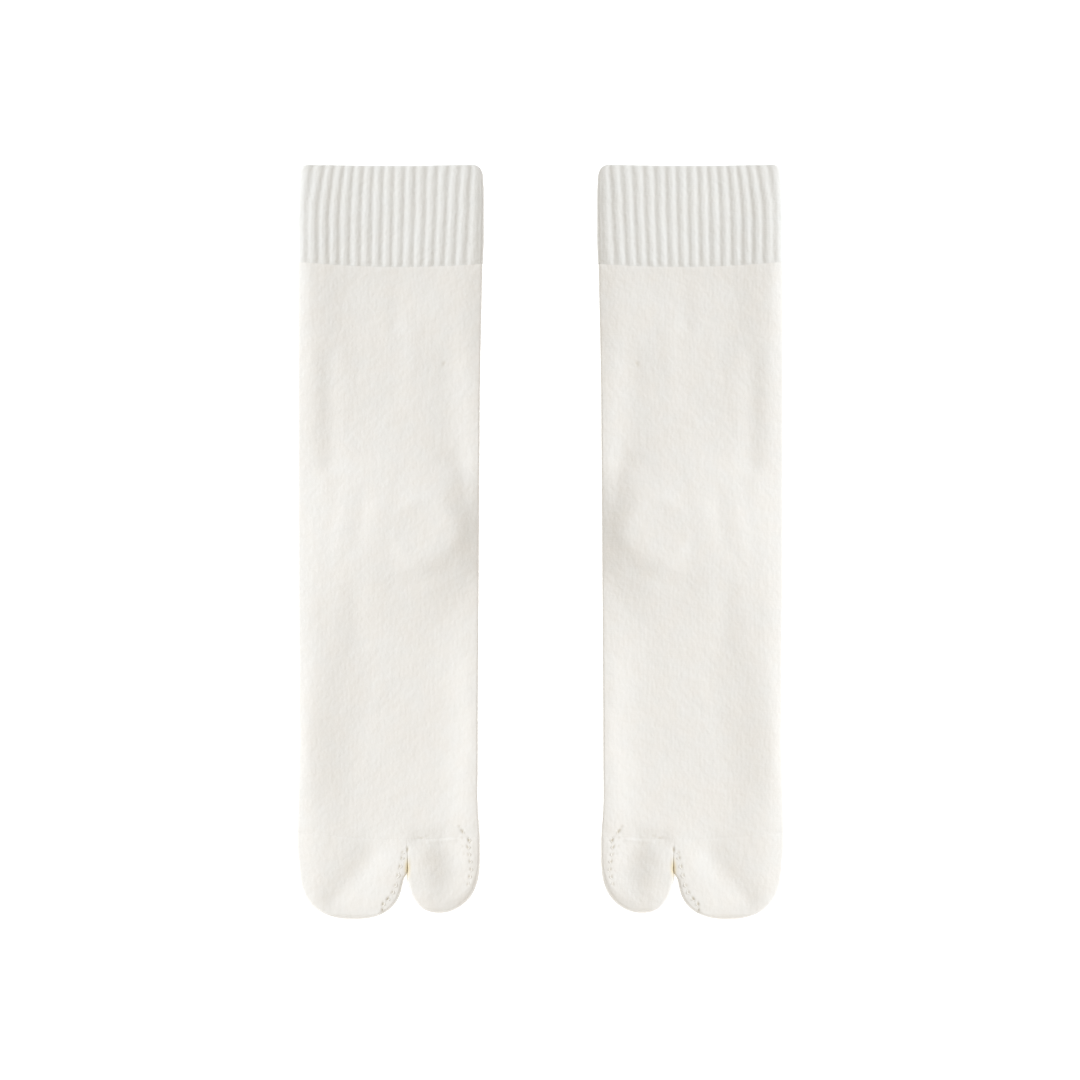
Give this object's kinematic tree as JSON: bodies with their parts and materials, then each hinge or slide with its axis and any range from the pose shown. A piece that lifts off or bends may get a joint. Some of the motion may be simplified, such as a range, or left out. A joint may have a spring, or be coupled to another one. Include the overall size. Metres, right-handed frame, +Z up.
{
  "type": "pair of tabi socks",
  "caption": "Pair of plain knitted split-toe socks laid flat side by side, with ribbed cuffs, heels folded under and separate pockets for the big toe and the other toes.",
  "frame": {"origin": "on the surface the socks lie on, midway between the two socks and midway along their length", "axes": "+Z up from the surface, +Y towards the cuffs, +X towards the sock for the left foot; X = 0 is the mirror plane of the pair"},
  "size_m": [0.2452, 0.3776, 0.011],
  "materials": {
    "plain_knit": "matte off-white plain cotton knit with a light fuzz",
    "rib_knit": "matte off-white ribbed cotton knit with elastic"
  },
  "bodies": {
    "root": {"right_cuff": "rib_knit", "right_leg_foot": "plain_knit", "right_heel": "plain_knit", "right_four_toes": "plain_knit", "right_big_toe": "plain_knit", "left_cuff": "rib_knit", "left_leg_foot": "plain_knit", "left_heel": "plain_knit", "left_four_toes": "plain_knit", "left_big_toe": "plain_knit"}
  },
  "joints": []
}
